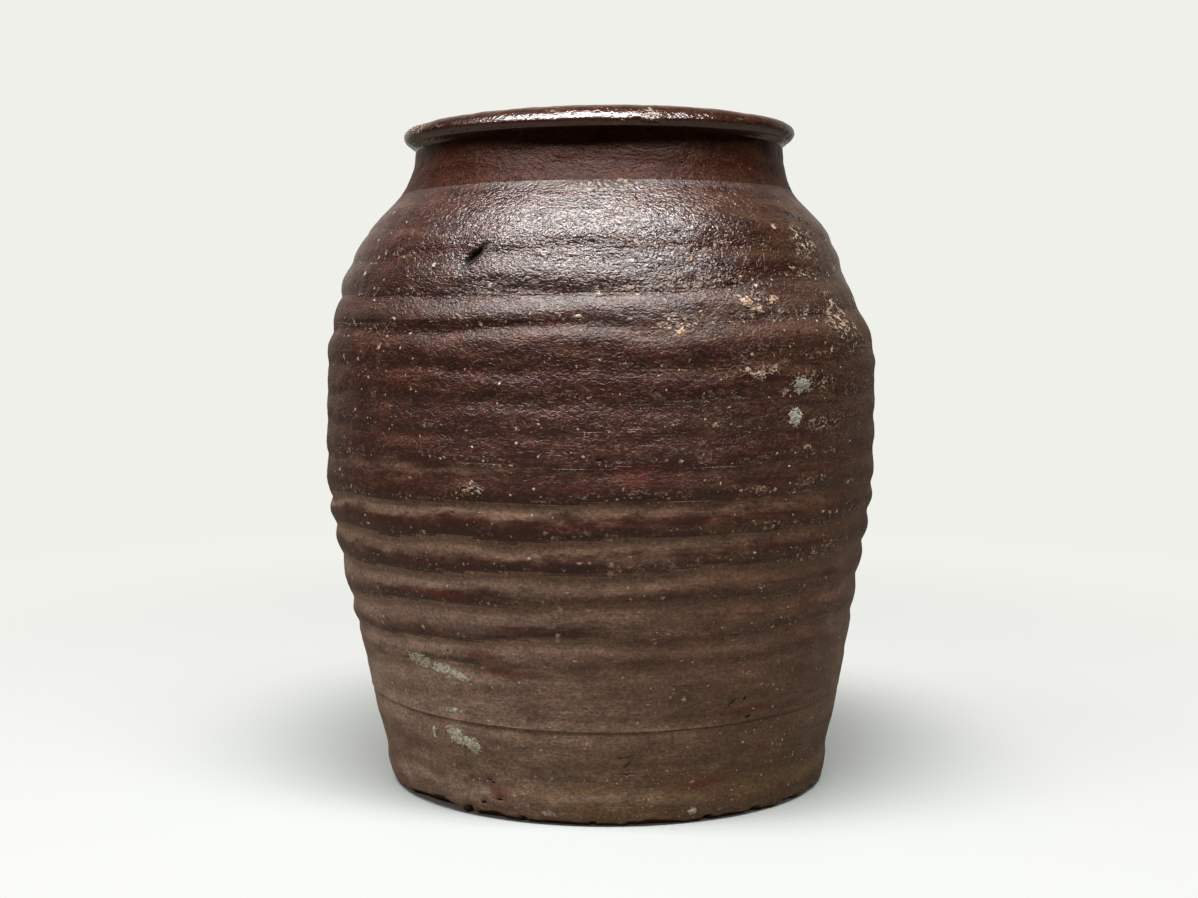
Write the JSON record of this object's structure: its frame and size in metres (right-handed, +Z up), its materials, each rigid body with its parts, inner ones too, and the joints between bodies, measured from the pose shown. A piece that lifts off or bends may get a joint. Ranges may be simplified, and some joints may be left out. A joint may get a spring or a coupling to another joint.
{
  "type": "storage jar",
  "caption": "Wide-shouldered stoneware storage jar with a short neck, a rolled rim and spiral throwing rings, open at the mouth and standing on a flat base.",
  "frame": {"origin": "on the ground, under the middle of the belly", "axes": "+Z up to the mouth, -Y is the side that the picture shows, +X to its right"},
  "size_m": [0.2514, 0.2512, 0.2974],
  "materials": {
    "bare_clay": "matt, gritty",
    "foot_clay": "matt, thin glaze worn to ochre clay",
    "matt_glaze": "semi-matt grey-brown",
    "red_glaze": "glossy oxblood brown",
    "rim_glaze": "glossy, worn at the edge"
  },
  "bodies": {
    "root": {"floor_slab": "bare_clay", "foot_course": "foot_clay", "lower_wall": "matt_glaze", "joining_band": "red_glaze", "shoulder_wall": "red_glaze", "neck_collar": "red_glaze", "rim_roll": "rim_glaze"}
  },
  "joints": []
}
